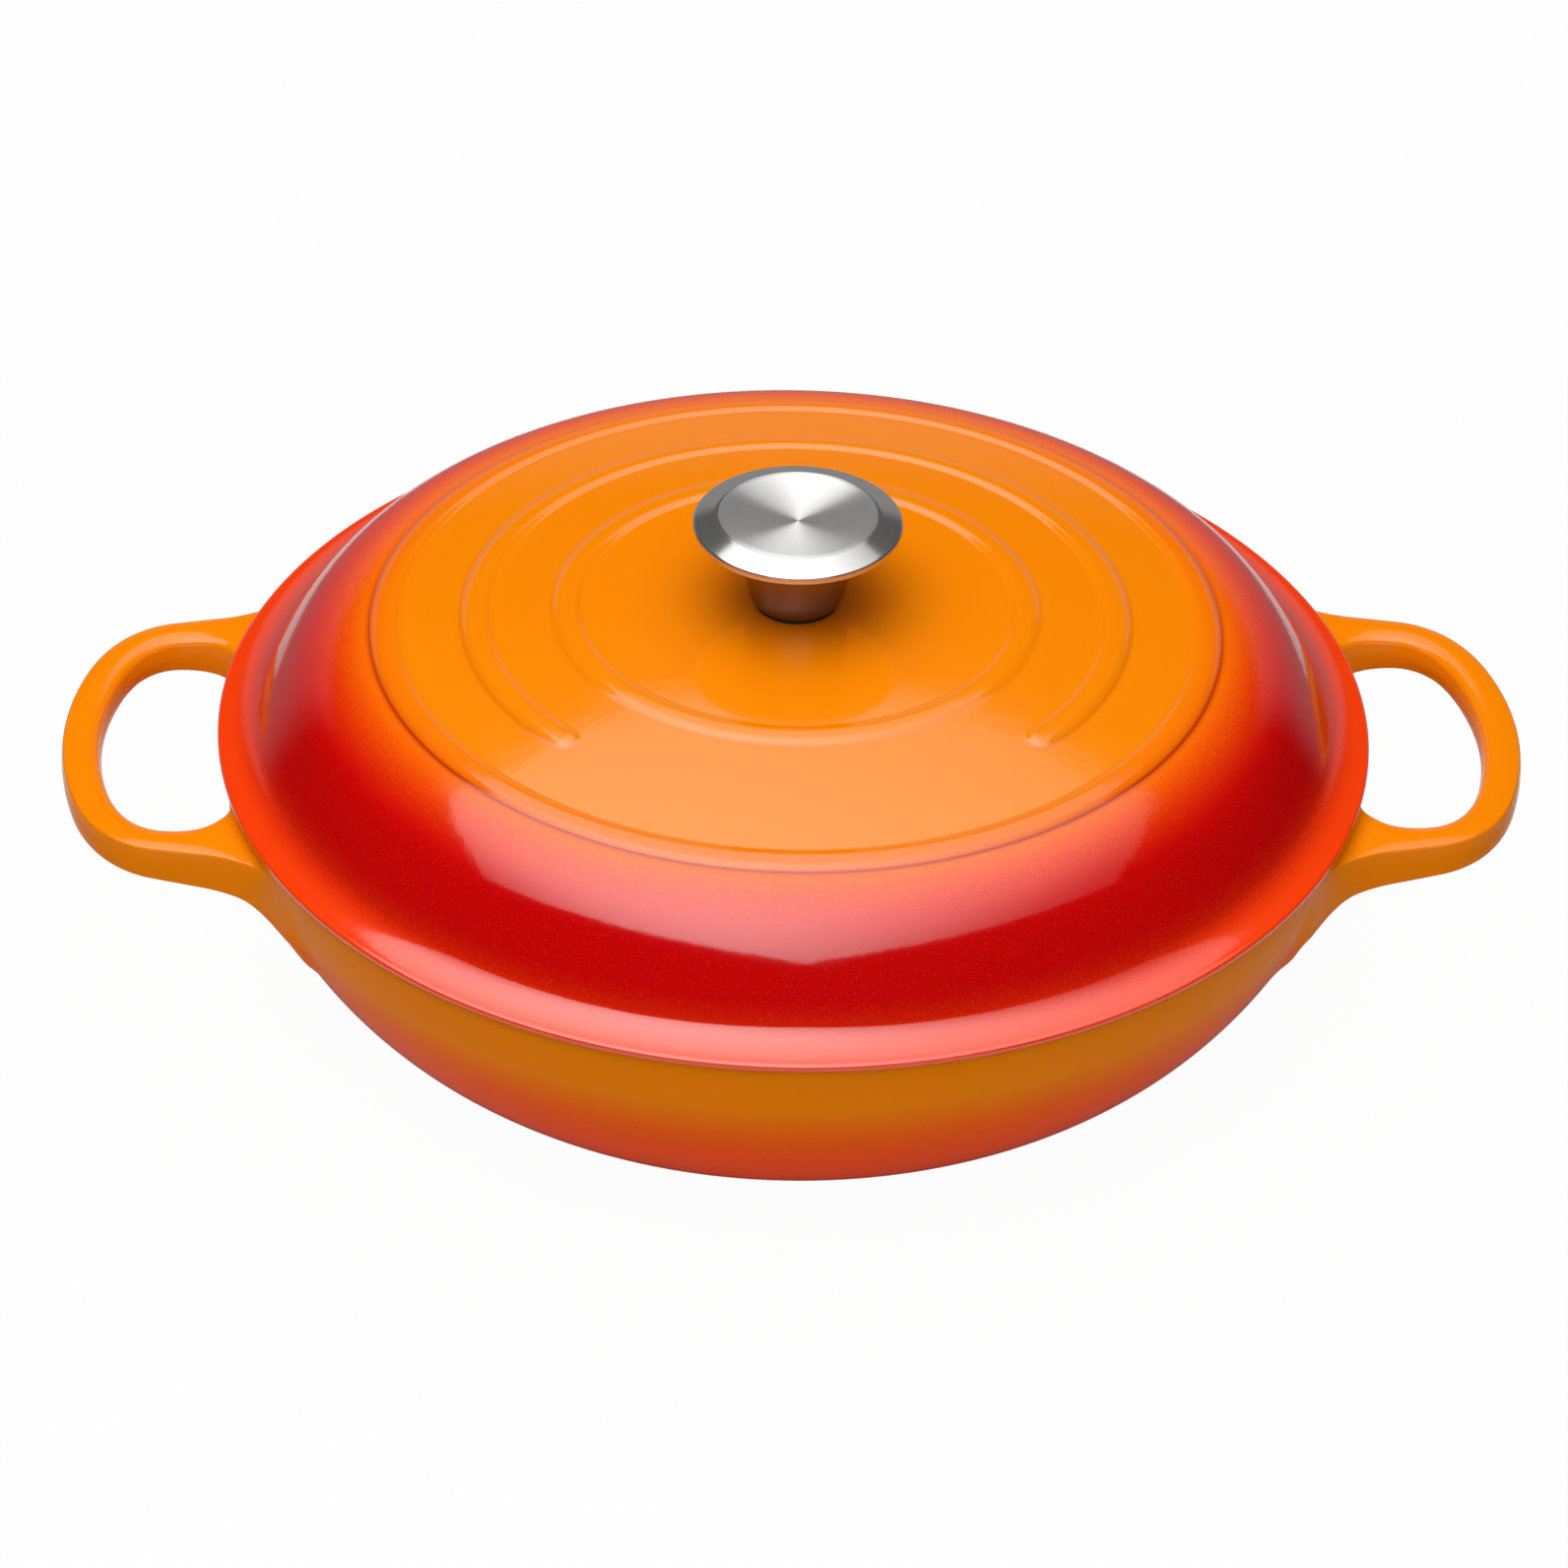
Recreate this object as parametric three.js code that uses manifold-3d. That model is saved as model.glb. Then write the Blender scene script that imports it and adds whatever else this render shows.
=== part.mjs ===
// Braising pot: a shallow enamelled iron pot with two loop handles, under a domed lid with a steel knob.
// Millimetres, +Z up. The origin is the centre of the base, the handles lie along X, the front faces -Y.

import * as THREE from 'three';
import { mergeVertices } from 'three/addons/utils/BufferGeometryUtils.js';
import { ParametricGeometry } from 'three/addons/geometries/ParametricGeometry.js';
import Module from 'manifold-3d';

const wasm = await Module();
wasm.setup();

// Shared sizes
const castingSides = 60;
const knobSides = 32;
const screwSides = 16;
const roundingSteps = 3;
const seatGap = 0.3;
const weldTolerance = 1e-4;

// Pot
const potHeight = 67.7;
const rimRadius = 153.5;
const rimEdge = 1.2;
const rimLean = THREE.MathUtils.degToRad(3.4);
const rimTangent = 29.3;
const baseRadius = 104;
const baseTangent = 23.9;
const wallThickness = 3.5;
const floorThickness = 4;
const bowlSteps = 9;

// Loop handles
const handleReach = 197.3;
const handleWidth = 10.6;
const handleTop = 64;
const handleBottom = 54;
const handleTipRadius = 100;
const handleTipAngle = THREE.MathUtils.degToRad(16.5);
const handleTipPull = 13;
const handleSidePull = 9;
const handleSideX = 169;
const handleSideY = 48.7;
const handleRootX = 127;
const handleRootY = 56.7;
const handleInnerFillet = 27;
const handleOuterFillet = 9;
const handleUnderFillet = 5;
const handleTaperLength = 36;
const handleTaperDrop = 4;
const handleTopFillet = 1.5;
const handleFilletSink = 3;
const handleSquareness = 4.5;
const handleFlareStart = 20;
const handleFlareEnd = 40;
const handleSides = 16;
const flareSteps = 7;
const bendSteps = 20;

// Lid
const lidSeat = potHeight + seatGap;
const lidRadius = 155;
const lidEdgeHeight = 1;
const lidEdgeBevel = 0.3;
const flangeEdgeRadius = 153.4;
const flangeEdgeRise = 1.9;
const flangeMiddleRadius = 150.2;
const flangeMiddleRise = 2.15;
const filletRadius = 145.8;
const filletRise = 3.5;
const shoulderStartRadius = 143.9;
const shoulderStartRise = 6.2;
const shoulderStartAngle = THREE.MathUtils.degToRad(56);
const shoulderStartTangent = 14.2;
const shoulderEndRadius = 115.3;
const shoulderSteps = 8;
const shoulderEndTangent = 15.6;
const shoulderEndAngle = THREE.MathUtils.degToRad(11);
const domeRise = 38.6;
const domeCurvature = 5.8e-4;
const crownRise = 37.4;
const crownCurvature = 1e-4;
const crownBlend = 0.5;
const lidThickness = 3.3;
const hollowPull = 11.4;
const hollowDrop = 2 * lidThickness;
const screwHoleRadius = 3.4;
const locatingRingRadius = 148.4;
const locatingRingWidth = 3.4;
const locatingRingDepth = 3.5;
const locatingRingBevel = 0.85;

// Raised rings on the lid
const ringWidth = 8.4;
const ringHeight = 0.9;
const ringFlank = 2;
const ringEdgeHeight = 0.77;
const outerRingRadius = 113.9;
const middleRingRadius = 89.6;
const innerRingRadius = 65.4;
const middleRingGapAngle = THREE.MathUtils.degToRad(46);
const ringSink = 1;
const wedgeSteps = 8;

// Knob
const knobTop = 133.1;
const knobTopRadius = 21;
const knobRadius = 27.8;
const knobBevelDrop = 2.4;
const knobEdgeDrop = 5.2;
const knobDish = 2.1;
const knobUnderRadius = 26.2;
const knobUnderRound = 0.4;
const knobEdgeHeight = 0.6;
const knobBevelPull = 4;
const knobBevelBulge = 1.25;
const stemTopRadius = 14.5;
const stemFlareRadius = 14.4;
const stemFlareRise = 5.9;
const stemBaseRadius = 11.75;
const stemFootRadius = 11;
const stemFootRound = 0.6;
const stemWall = 1.5;
const stemLip = 0.6;
const stemLandRadius = 17;
const gasketRadius = 11.2;
const gasketInnerRadius = 8.5;
const gasketThickness = 0.6;
const insertRadius = 6;
const insertLength = 15;
const insertCap = 2;
const screwRadius = 3;
const threadClearance = 0.2;
const screwLength = 17;
const screwHeadRadius = 5.6;
const screwHeadHeight = 3.2;
const screwHeadFlat = 3.4;
const screwHeadRound = 1.9;
const washerRadius = 8;
const washerThickness = 1.2;
const washerLandRadius = 12;
const screwSlotWidth = 1.4;
const screwSlotDepth = 1.2;

// Solids for joining and cutting
function toSolid(geometry) {
  geometry.deleteAttribute('normal');
  geometry.deleteAttribute('uv');
  const merged = mergeVertices(geometry, weldTolerance);
  const corners = merged.index.array;
  const triangles = [];
  for (let i = 0; i < corners.length; i += 3) {
    const [a, b, c] = [corners[i], corners[i + 1], corners[i + 2]];
    const flat = a === b || b === c || c === a;
    if (!flat) triangles.push(a, b, c);
  }
  const vertProperties = new Float32Array(merged.attributes.position.array);
  const triVerts = new Uint32Array(triangles);
  return new wasm.Manifold(new wasm.Mesh({ numProp: 3, vertProperties, triVerts }));
}

function toGeometry(solid) {
  const { vertProperties, triVerts } = solid.getMesh();
  const geometry = new THREE.BufferGeometry();
  geometry.setAttribute('position', new THREE.BufferAttribute(vertProperties, 3));
  geometry.setIndex(new THREE.BufferAttribute(triVerts, 1));
  geometry.computeVertexNormals();
  return geometry;
}

// A profile of (radius, height) points turned about the Z axis
function turned(points, sides) {
  return new THREE.LatheGeometry(points, sides).rotateX(Math.PI / 2);
}

// Points along a path, where each round corner has a few steps and each long curve as many as it needs
function profilePoints(path, curveSteps) {
  const points = path.curves.flatMap((curve) => {
    if (curve.isLineCurve) return curve.getPoints(1);
    return curve.getPoints(curve.isCubicBezierCurve ? curveSteps : roundingSteps);
  });
  return points.filter((point, i) => i === 0 || point.distanceTo(points[i - 1]) > weldTolerance);
}

// A plain ring of rectangular section, as a closed profile
function ringPoints(innerRadius, outerRadius, bottom, top) {
  const path = new THREE.Path();
  path.moveTo(innerRadius, bottom);
  path.lineTo(outerRadius, bottom);
  path.lineTo(outerRadius, top);
  path.lineTo(innerRadius, top);
  path.lineTo(innerRadius, bottom);
  return path.getPoints(1);
}

// Pot
function addBowlCurve(path, thickness, floor, rimTop) {
  const foot = baseRadius - thickness;
  const rim = rimRadius - thickness;
  path.lineTo(foot, floor);
  path.bezierCurveTo(
    foot + baseTangent, floor,
    rim - rimTangent * Math.sin(rimLean), rimTop - rimTangent * Math.cos(rimLean),
    rim, rimTop,
  );
}

function bowlOutside() {
  const path = new THREE.Path();
  path.moveTo(0, 0);
  addBowlCurve(path, 0, 0, potHeight - rimEdge);
  path.quadraticCurveTo(rimRadius, potHeight, rimRadius - rimEdge, potHeight);
  path.lineTo(0, potHeight);
  return turned(profilePoints(path, bowlSteps), castingSides);
}

function bowlCavity() {
  const mouth = rimRadius - wallThickness + rimEdge / 2;
  const path = new THREE.Path();
  path.moveTo(0, floorThickness);
  addBowlCurve(path, wallThickness, floorThickness, potHeight - rimEdge);
  path.lineTo(mouth, potHeight);
  path.lineTo(mouth, potHeight + rimEdge);
  path.lineTo(0, potHeight + rimEdge);
  return turned(profilePoints(path, bowlSteps), castingSides);
}

// Middle line of the +X handle, seen from above
function handleSpine() {
  const tipRadius = handleTipRadius - handleWidth / 2;
  const tipCentre = handleReach - handleTipRadius;
  const cornerX = tipCentre + tipRadius * Math.cos(handleTipAngle);
  const cornerY = tipRadius * Math.sin(handleTipAngle);
  const sideRun = Math.hypot(handleSideX - handleRootX, handleRootY - handleSideY);
  const pullX = handleSidePull * (handleSideX - handleRootX) / sideRun;
  const pullY = handleSidePull * (handleRootY - handleSideY) / sideRun;
  const bendX = cornerX - handleTipPull * Math.sin(handleTipAngle);
  const bendY = cornerY + handleTipPull * Math.cos(handleTipAngle);
  const spine = new THREE.Path();
  spine.moveTo(handleRootX, -handleRootY);
  spine.lineTo(handleSideX, -handleSideY);
  spine.bezierCurveTo(handleSideX + pullX, pullY - handleSideY, bendX, -bendY, cornerX, -cornerY);
  spine.absarc(tipCentre, 0, tipRadius, -handleTipAngle, handleTipAngle, false);
  spine.bezierCurveTo(bendX, bendY, handleSideX + pullX, handleSideY - pullY, handleSideX, handleSideY);
  spine.lineTo(handleRootX, handleRootY);
  return spine;
}

// How far a round fillet stands out at a given distance from the wall
function filletGrowth(distance, radius) {
  const inside = THREE.MathUtils.clamp(radius - distance, 0, radius);
  return radius - Math.sqrt(radius * radius - inside * inside);
}

// Distances along the spine of the handle's cross-sections, closer together where the band flares at the wall
function handleStations(length) {
  const flare = handleFlareEnd - handleFlareStart;
  const middle = length - 2 * handleFlareEnd;
  const stations = [0, 0];
  for (let i = 0; i < flareSteps; i += 1) stations.push(handleFlareStart + (flare * i) / flareSteps);
  for (let i = 0; i <= bendSteps; i += 1) stations.push(handleFlareEnd + (middle * i) / bendSteps);
  const lastFlare = length - handleFlareStart;
  for (let i = flareSteps - 1; i >= 0; i -= 1) stations.push(lastFlare - (flare * i) / flareSteps);
  return [...stations, length, length];
}

// A band with a squared-off round section, swept along the spine and flared where it meets the wall
function loopHandle() {
  const spine = handleSpine();
  const length = spine.getLength();
  const stations = handleStations(length);
  const steps = stations.length - 1;
  const halfWidth = handleWidth / 2;
  const filletFoot = rimRadius - handleFilletSink;
  const middle = (handleTop + handleBottom) / 2;
  const halfHeight = (handleTop - handleBottom) / 2;
  const squared = (value) => Math.sign(value) * Math.abs(value) ** (2 / handleSquareness);
  const section = (u, v, target) => {
    const station = Math.round(v * steps);
    const along = stations[station] / length;
    const point = spine.getPoint(along);
    const tangent = spine.getTangent(along);
    const normal = new THREE.Vector2(-tangent.y, tangent.x);
    const across = squared(Math.cos(2 * Math.PI * u));
    const rise = squared(Math.sin(2 * Math.PI * u));
    const side = normal.clone().multiplyScalar(Math.sign(across) * halfWidth).add(point);
    const sideFillet = across > 0 ? handleInnerFillet : handleOuterFillet;
    const sideReach = halfWidth + filletGrowth(side.length() - filletFoot, sideFillet);
    const wallDistance = point.length() - filletFoot;
    const taper = handleTaperDrop * THREE.MathUtils.clamp(1 - wallDistance / handleTaperLength, 0, 1);
    const topReach = halfHeight + filletGrowth(wallDistance, handleTopFillet);
    const underReach = halfHeight + taper + filletGrowth(wallDistance, handleUnderFillet);
    const closed = station === 0 || station === steps;
    const offset = closed ? 0 : across * sideReach;
    const lift = closed ? 0 : rise * (rise > 0 ? topReach : underReach);
    target.set(point.x + normal.x * offset, point.y + normal.y * offset, middle + lift);
  };
  return new ParametricGeometry(section, handleSides, steps);
}

function potBody() {
  const bowl = toSolid(bowlOutside());
  const right = toSolid(loopHandle());
  const left = toSolid(loopHandle().rotateZ(Math.PI));
  const cavity = toSolid(bowlCavity());
  return toGeometry(bowl.add(right).add(left).subtract(cavity));
}

// Height of the lid's smooth top at a radius: a wide dome that flattens into a nearly level crown
function domeTop(radius) {
  const dome = domeRise - domeCurvature * radius * radius;
  const crown = crownRise - crownCurvature * radius * radius;
  const spread = Math.hypot(dome - crown, crownBlend);
  return lidSeat + (dome + crown - spread) / 2;
}

// Cross-section of a raised ring from its outer foot to its inner foot
function ringCrest(outerRadius) {
  const innerRadius = outerRadius - ringWidth;
  const crestOuter = outerRadius - ringFlank;
  const crestInner = innerRadius + ringFlank;
  const crestMiddle = (crestOuter + crestInner) / 2;
  return [
    new THREE.Vector2(outerRadius, domeTop(outerRadius)),
    new THREE.Vector2(crestOuter, domeTop(crestOuter) + ringEdgeHeight),
    new THREE.Vector2(crestMiddle, domeTop(crestMiddle) + ringHeight),
    new THREE.Vector2(crestInner, domeTop(crestInner) + ringEdgeHeight),
    new THREE.Vector2(innerRadius, domeTop(innerRadius)),
  ];
}

function lidUnderside() {
  const ringInner = locatingRingRadius - locatingRingWidth;
  const shoulderFoot = lidSeat + shoulderStartRise - lidThickness;
  const crownRadius = shoulderEndRadius - lidThickness / 2;
  const path = new THREE.Path();
  path.moveTo(screwHoleRadius, domeTop(screwHoleRadius) - lidThickness);
  for (const radius of [washerLandRadius, middleRingRadius / 2, middleRingRadius, crownRadius]) {
    path.lineTo(radius, domeTop(radius) - lidThickness);
  }
  path.quadraticCurveTo(
    shoulderStartRadius - hollowPull, domeTop(shoulderEndRadius) - hollowDrop,
    shoulderStartRadius - lidThickness, shoulderFoot,
  );
  path.lineTo(ringInner, lidSeat);
  path.lineTo(ringInner + locatingRingBevel, lidSeat - locatingRingDepth);
  path.lineTo(locatingRingRadius - locatingRingBevel, lidSeat - locatingRingDepth);
  path.lineTo(locatingRingRadius, lidSeat);
  path.lineTo(lidRadius - lidEdgeBevel, lidSeat);
  path.lineTo(lidRadius, lidSeat + lidEdgeBevel);
  return profilePoints(path, shoulderSteps);
}

function lidOutside() {
  const shoulderStart = lidSeat + shoulderStartRise;
  const flangeEdge = lidSeat + flangeEdgeRise;
  const shoulderEnd = domeTop(shoulderEndRadius);
  const path = new THREE.Path();
  path.moveTo(lidRadius, lidSeat + lidEdgeHeight);
  path.quadraticCurveTo(lidRadius, flangeEdge, flangeEdgeRadius, flangeEdge);
  path.bezierCurveTo(
    flangeMiddleRadius, lidSeat + flangeMiddleRise,
    filletRadius, lidSeat + filletRise,
    shoulderStartRadius, shoulderStart,
  );
  path.bezierCurveTo(
    shoulderStartRadius - shoulderStartTangent * Math.cos(shoulderStartAngle),
    shoulderStart + shoulderStartTangent * Math.sin(shoulderStartAngle),
    shoulderEndRadius + shoulderEndTangent * Math.cos(shoulderEndAngle),
    shoulderEnd - shoulderEndTangent * Math.sin(shoulderEndAngle),
    shoulderEndRadius, shoulderEnd,
  );
  return profilePoints(path, shoulderSteps);
}

function lidTop() {
  const points = ringCrest(outerRingRadius);
  const levelRadii = [middleRingRadius, middleRingRadius - ringWidth];
  points.push(...levelRadii.map((radius) => new THREE.Vector2(radius, domeTop(radius))));
  points.push(...ringCrest(innerRingRadius));
  const crownRadii = [innerRingRadius / 2, stemLandRadius, screwHoleRadius];
  points.push(...crownRadii.map((radius) => new THREE.Vector2(radius, domeTop(radius))));
  return points;
}

// The middle ring is open at the front, and each end is rounded
function middleRing() {
  const crest = ringCrest(middleRingRadius);
  const outerFoot = crest[0];
  const innerFoot = crest[crest.length - 1];
  const sunkOuter = new THREE.Vector2(outerFoot.x, outerFoot.y - ringSink);
  const sunkInner = new THREE.Vector2(innerFoot.x, innerFoot.y - ringSink);
  const ring = toSolid(turned([sunkInner, sunkOuter, ...crest, sunkInner.clone()], castingSides));
  const wedge = new THREE.Shape();
  wedge.absarc(0, 0, rimRadius, -Math.PI / 2 - middleRingGapAngle, -Math.PI / 2 + middleRingGapAngle, false);
  wedge.lineTo(0, 0);
  const cut = { depth: domeRise, bevelEnabled: false, curveSegments: wedgeSteps };
  const wedgeBlock = new THREE.ExtrudeGeometry(wedge, cut);
  const open = ring.subtract(toSolid(wedgeBlock.translate(0, 0, innerFoot.y - domeRise / 2)));
  const endRadius = (outerFoot.x + innerFoot.x) / 2;
  const endProfile = [
    new THREE.Vector2(0, outerFoot.y - ringSink),
    new THREE.Vector2(ringWidth / 2, outerFoot.y - ringSink),
    new THREE.Vector2(ringWidth / 2, domeTop(endRadius)),
    new THREE.Vector2(ringWidth / 2 - ringFlank, domeTop(endRadius) + ringEdgeHeight),
    new THREE.Vector2(0, domeTop(endRadius) + ringHeight),
  ];
  return [-1, 1].reduce((joined, side) => {
    const angle = -Math.PI / 2 + side * middleRingGapAngle;
    const end = turned(endProfile, screwSides);
    end.translate(endRadius * Math.cos(angle), endRadius * Math.sin(angle), 0);
    return joined.add(toSolid(end));
  }, open);
}

function lid() {
  const profile = [...lidUnderside(), ...lidOutside(), ...lidTop()];
  profile.push(profile[0].clone());
  return toGeometry(toSolid(turned(profile, castingSides)).add(middleRing()));
}

// Knob
const gasketBottom = domeTop(screwHoleRadius) + seatGap;
const gasketTop = gasketBottom + gasketThickness;
const stemBottom = gasketTop + seatGap;
const capBottom = knobTop - knobEdgeDrop;
const stemTop = capBottom - seatGap;
const insertBottom = stemTop - insertLength;
const washerTop = domeTop(screwHoleRadius) - lidThickness - seatGap;
const washerBottom = washerTop - washerThickness;
const screwHeadTop = washerBottom - seatGap;

function knobCap() {
  const edge = knobTop - knobBevelDrop;
  const path = new THREE.Path();
  path.moveTo(0, capBottom);
  path.lineTo(knobUnderRadius, capBottom);
  path.quadraticCurveTo(knobRadius, capBottom + knobUnderRound, knobRadius, edge - knobEdgeHeight);
  path.lineTo(knobRadius, edge);
  path.quadraticCurveTo(knobTopRadius + knobBevelPull, knobTop - knobBevelBulge, knobTopRadius, knobTop);
  path.quadraticCurveTo(knobTopRadius / 2, knobTop - knobDish, 0, knobTop - knobDish);
  return turned(profilePoints(path, roundingSteps), knobSides);
}

function knobStem() {
  const lipStart = new THREE.Vector2(stemTopRadius - stemLip / 2, stemTop - 3 * stemLip);
  const path = new THREE.Path();
  path.moveTo(stemFootRadius - stemWall, stemBottom);
  path.lineTo(stemFootRadius, stemBottom);
  path.quadraticCurveTo(stemBaseRadius, stemBottom, stemBaseRadius, stemBottom + stemFootRound);
  path.quadraticCurveTo(stemFlareRadius, stemBottom + stemFlareRise, lipStart.x, lipStart.y);
  path.quadraticCurveTo(stemTopRadius, stemTop - stemLip, stemTopRadius + stemLip, stemTop);
  path.lineTo(stemTopRadius - stemWall, stemTop);
  path.lineTo(stemFootRadius - stemWall, stemBottom);
  return turned(profilePoints(path, roundingSteps), knobSides);
}

function knobInsert() {
  const boreRadius = screwRadius + threadClearance;
  const boreTop = stemTop - insertCap;
  const path = new THREE.Path();
  path.moveTo(boreRadius, insertBottom);
  path.lineTo(insertRadius, insertBottom);
  path.lineTo(insertRadius, stemTop);
  path.lineTo(0, stemTop);
  path.lineTo(0, boreTop);
  path.lineTo(boreRadius, boreTop);
  path.lineTo(boreRadius, insertBottom);
  return turned(path.getPoints(1), screwSides);
}

function lidScrew() {
  const headBottom = screwHeadTop - screwHeadHeight;
  const path = new THREE.Path();
  path.moveTo(0, headBottom);
  path.lineTo(screwHeadFlat, headBottom);
  path.quadraticCurveTo(screwHeadRadius, headBottom, screwHeadRadius, headBottom + screwHeadRound);
  path.lineTo(screwHeadRadius, screwHeadTop);
  path.lineTo(screwRadius, screwHeadTop);
  path.lineTo(screwRadius, screwHeadTop + screwLength);
  path.lineTo(0, screwHeadTop + screwLength);
  const blank = toSolid(turned(profilePoints(path, roundingSteps), screwSides));
  const slot = new THREE.BoxGeometry(3 * screwHeadRadius, screwSlotWidth, 2 * screwSlotDepth);
  return toGeometry(blank.subtract(toSolid(slot.translate(0, 0, headBottom))));
}

// Finishes
const flameEnamel = { color: 0xf07800, roughness: 0.18, metalness: 0 };
const lidEnamel = { color: 0xe8500a, roughness: 0.16, metalness: 0 };
const brushedSteel = { color: 0xb4b4b4, roughness: 0.32, metalness: 1 };
const plainSteel = { color: 0x9a9a9a, roughness: 0.4, metalness: 1 };
const darkSeal = { color: 0x1c1a18, roughness: 0.7, metalness: 0 };

function piece(name, geometry, finish) {
  const mesh = new THREE.Mesh(geometry, new THREE.MeshStandardMaterial(finish));
  mesh.name = name;
  return mesh;
}

const gasketRing = ringPoints(gasketInnerRadius, gasketRadius, gasketBottom, gasketTop);
const washerRing = ringPoints(screwHoleRadius, washerRadius, washerBottom, washerTop);

const knobGroup = new THREE.Group();
knobGroup.add(
  piece('knob_cap', knobCap(), brushedSteel),
  piece('knob_stem', knobStem(), brushedSteel),
  piece('knob_insert', knobInsert(), plainSteel),
  piece('knob_gasket', turned(gasketRing, knobSides), darkSeal),
  piece('screw_washer', turned(washerRing, screwSides), plainSteel),
  piece('lid_screw', lidScrew(), plainSteel),
);

const lidGroup = new THREE.Group();
lidGroup.add(piece('lid', lid(), lidEnamel), knobGroup);

const braisingPot = new THREE.Group();
braisingPot.add(piece('pot_body', potBody(), flameEnamel), lidGroup);

export default braisingPot;
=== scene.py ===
import math

import bmesh
import bpy
import numpy as np
from mathutils import Matrix, Vector
from mathutils.bvhtree import BVHTree


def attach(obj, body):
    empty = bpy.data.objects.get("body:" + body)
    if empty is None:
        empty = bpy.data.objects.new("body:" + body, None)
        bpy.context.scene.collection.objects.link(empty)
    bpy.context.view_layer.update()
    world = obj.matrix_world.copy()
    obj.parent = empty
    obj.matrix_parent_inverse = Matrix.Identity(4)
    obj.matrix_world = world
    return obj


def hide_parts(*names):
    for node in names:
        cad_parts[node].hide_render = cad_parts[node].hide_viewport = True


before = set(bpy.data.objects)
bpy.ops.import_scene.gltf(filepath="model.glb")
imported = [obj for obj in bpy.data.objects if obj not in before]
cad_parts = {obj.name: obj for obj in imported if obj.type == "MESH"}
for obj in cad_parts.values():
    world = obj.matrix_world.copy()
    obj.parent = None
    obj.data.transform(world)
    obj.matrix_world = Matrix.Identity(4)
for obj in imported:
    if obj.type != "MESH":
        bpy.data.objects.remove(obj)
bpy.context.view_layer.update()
scene = bpy.context.scene
mm = 0.001
print("frame loaded")


# Profiles and meshes

def trace(start, runs, step=1.0):
    # one control point is a straight run, two a quadratic curve, three a cubic one
    points = [np.array(start, float)]
    for run in runs:
        control = [points[-1]] + [np.array(p, float) for p in run]
        length = sum(np.linalg.norm(b - a) for a, b in zip(control, control[1:]))
        if len(control) == 2:
            lead = min(0.2 / length, 0.3)  # support points keep flat runs flat when shaded smooth
            shares = [lead, 1 - lead, 1]
        else:
            steps = max(7, math.ceil(length / step))
            shares = np.arange(1, steps + 1) / steps
        for share in shares:
            level = control
            while len(level) > 1:
                level = [a + (b - a) * share for a, b in zip(level, level[1:])]
            points.append(level[0])
    return np.array(points)


def smooth(share):
    # eases in and out between 0 and 1
    share = np.clip(share, 0, 1)
    return share * share * (3 - 2 * share)


def gridFaces(rows, columns, closed=False):
    # the columns run round, and so do the rows of a closed section
    faces = []
    for i in range(rows if closed else rows - 1):
        below, above = i * columns, (i + 1) % rows * columns
        for j in range(columns):
            k = (j + 1) % columns
            faces.append((below + j, below + k, above + k, above + j))
    return faces


def newMesh(name, grid, faces):
    mesh = bpy.data.meshes.new(name)
    mesh.from_pydata((grid.reshape(-1, 3) * mm).tolist(), [], faces)
    work = bmesh.new()
    work.from_mesh(mesh)
    bmesh.ops.remove_doubles(work, verts=work.verts, dist=1e-7)
    bmesh.ops.recalc_face_normals(work, faces=work.faces)
    work.to_mesh(mesh)
    work.free()
    mesh.shade_smooth()
    return mesh


def spinMesh(name, profile, angles, rise=None, closed=False):
    # turns (radius, height) points in millimetres about the Z axis
    radius, height = np.array(profile).T
    turnRadius, turnAngle = np.meshgrid(radius, angles, indexing="ij")
    turnHeight = np.repeat(height[:, None], len(angles), axis=1)
    if rise is not None:
        turnHeight = turnHeight + rise(turnRadius, turnAngle, turnHeight)
    grid = np.stack([turnRadius * np.cos(turnAngle), turnRadius * np.sin(turnAngle), turnHeight], -1)
    return newMesh(name, grid, gridFaces(len(radius), len(angles), closed))


def readRows(items, key):
    # three numbers for each point or face of a mesh
    values = np.zeros(len(items) * 3)
    items.foreach_get(key, values)
    return values.reshape(-1, 3)


def paintFaces(mesh, finish, other, picked):
    # one finish all over, another on the faces that are picked
    mesh.materials.clear()
    mesh.materials.append(finish)
    mesh.materials.append(other)
    mesh.polygons.foreach_set("material_index", picked.astype(np.int32))


def addPiece(mesh, body, slot, *nodes):
    piece = bpy.data.objects.new(mesh.name, mesh)
    scene.collection.objects.link(piece)
    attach(piece, body)
    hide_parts(*nodes)
    return piece


def joined(base, other, operation):
    # one solid joined to or cut from another
    pair = [bpy.data.objects.new("work", m) for m in (base, other)]
    for solid in pair:
        scene.collection.objects.link(solid)
    step = pair[0].modifiers.new("join", "BOOLEAN")
    step.operation = operation
    step.solver = "MANIFOLD"
    step.object = pair[1]
    view = bpy.context.evaluated_depsgraph_get()
    result = bpy.data.meshes.new_from_object(pair[0].evaluated_get(view))
    for solid in pair:
        bpy.data.objects.remove(solid)
    return result


fullTurn = np.radians(np.arange(0, 360, 1.0))
fineTurn = np.radians(np.arange(0, 360, 1.5))


# Shader helpers

def addNode(tree, kind, inputs=None, **settings):
    made = tree.nodes.new(kind)
    for key, value in settings.items():
        setattr(made, key, value)
    for key, value in (inputs or {}).items():
        if isinstance(value, bpy.types.NodeSocket):
            tree.links.new(value, made.inputs[key])
        else:
            made.inputs[key].default_value = value
    return made


def math2(tree, operation, a, b=0.0, clamp=False):
    return addNode(tree, "ShaderNodeMath", {0: a, 1: b}, operation=operation, use_clamp=clamp).outputs[0]


def mixColour(tree, share, a, b):
    return addNode(tree, "ShaderNodeMix", {0: share, 6: a, 7: b}, data_type="RGBA").outputs[2]


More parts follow.
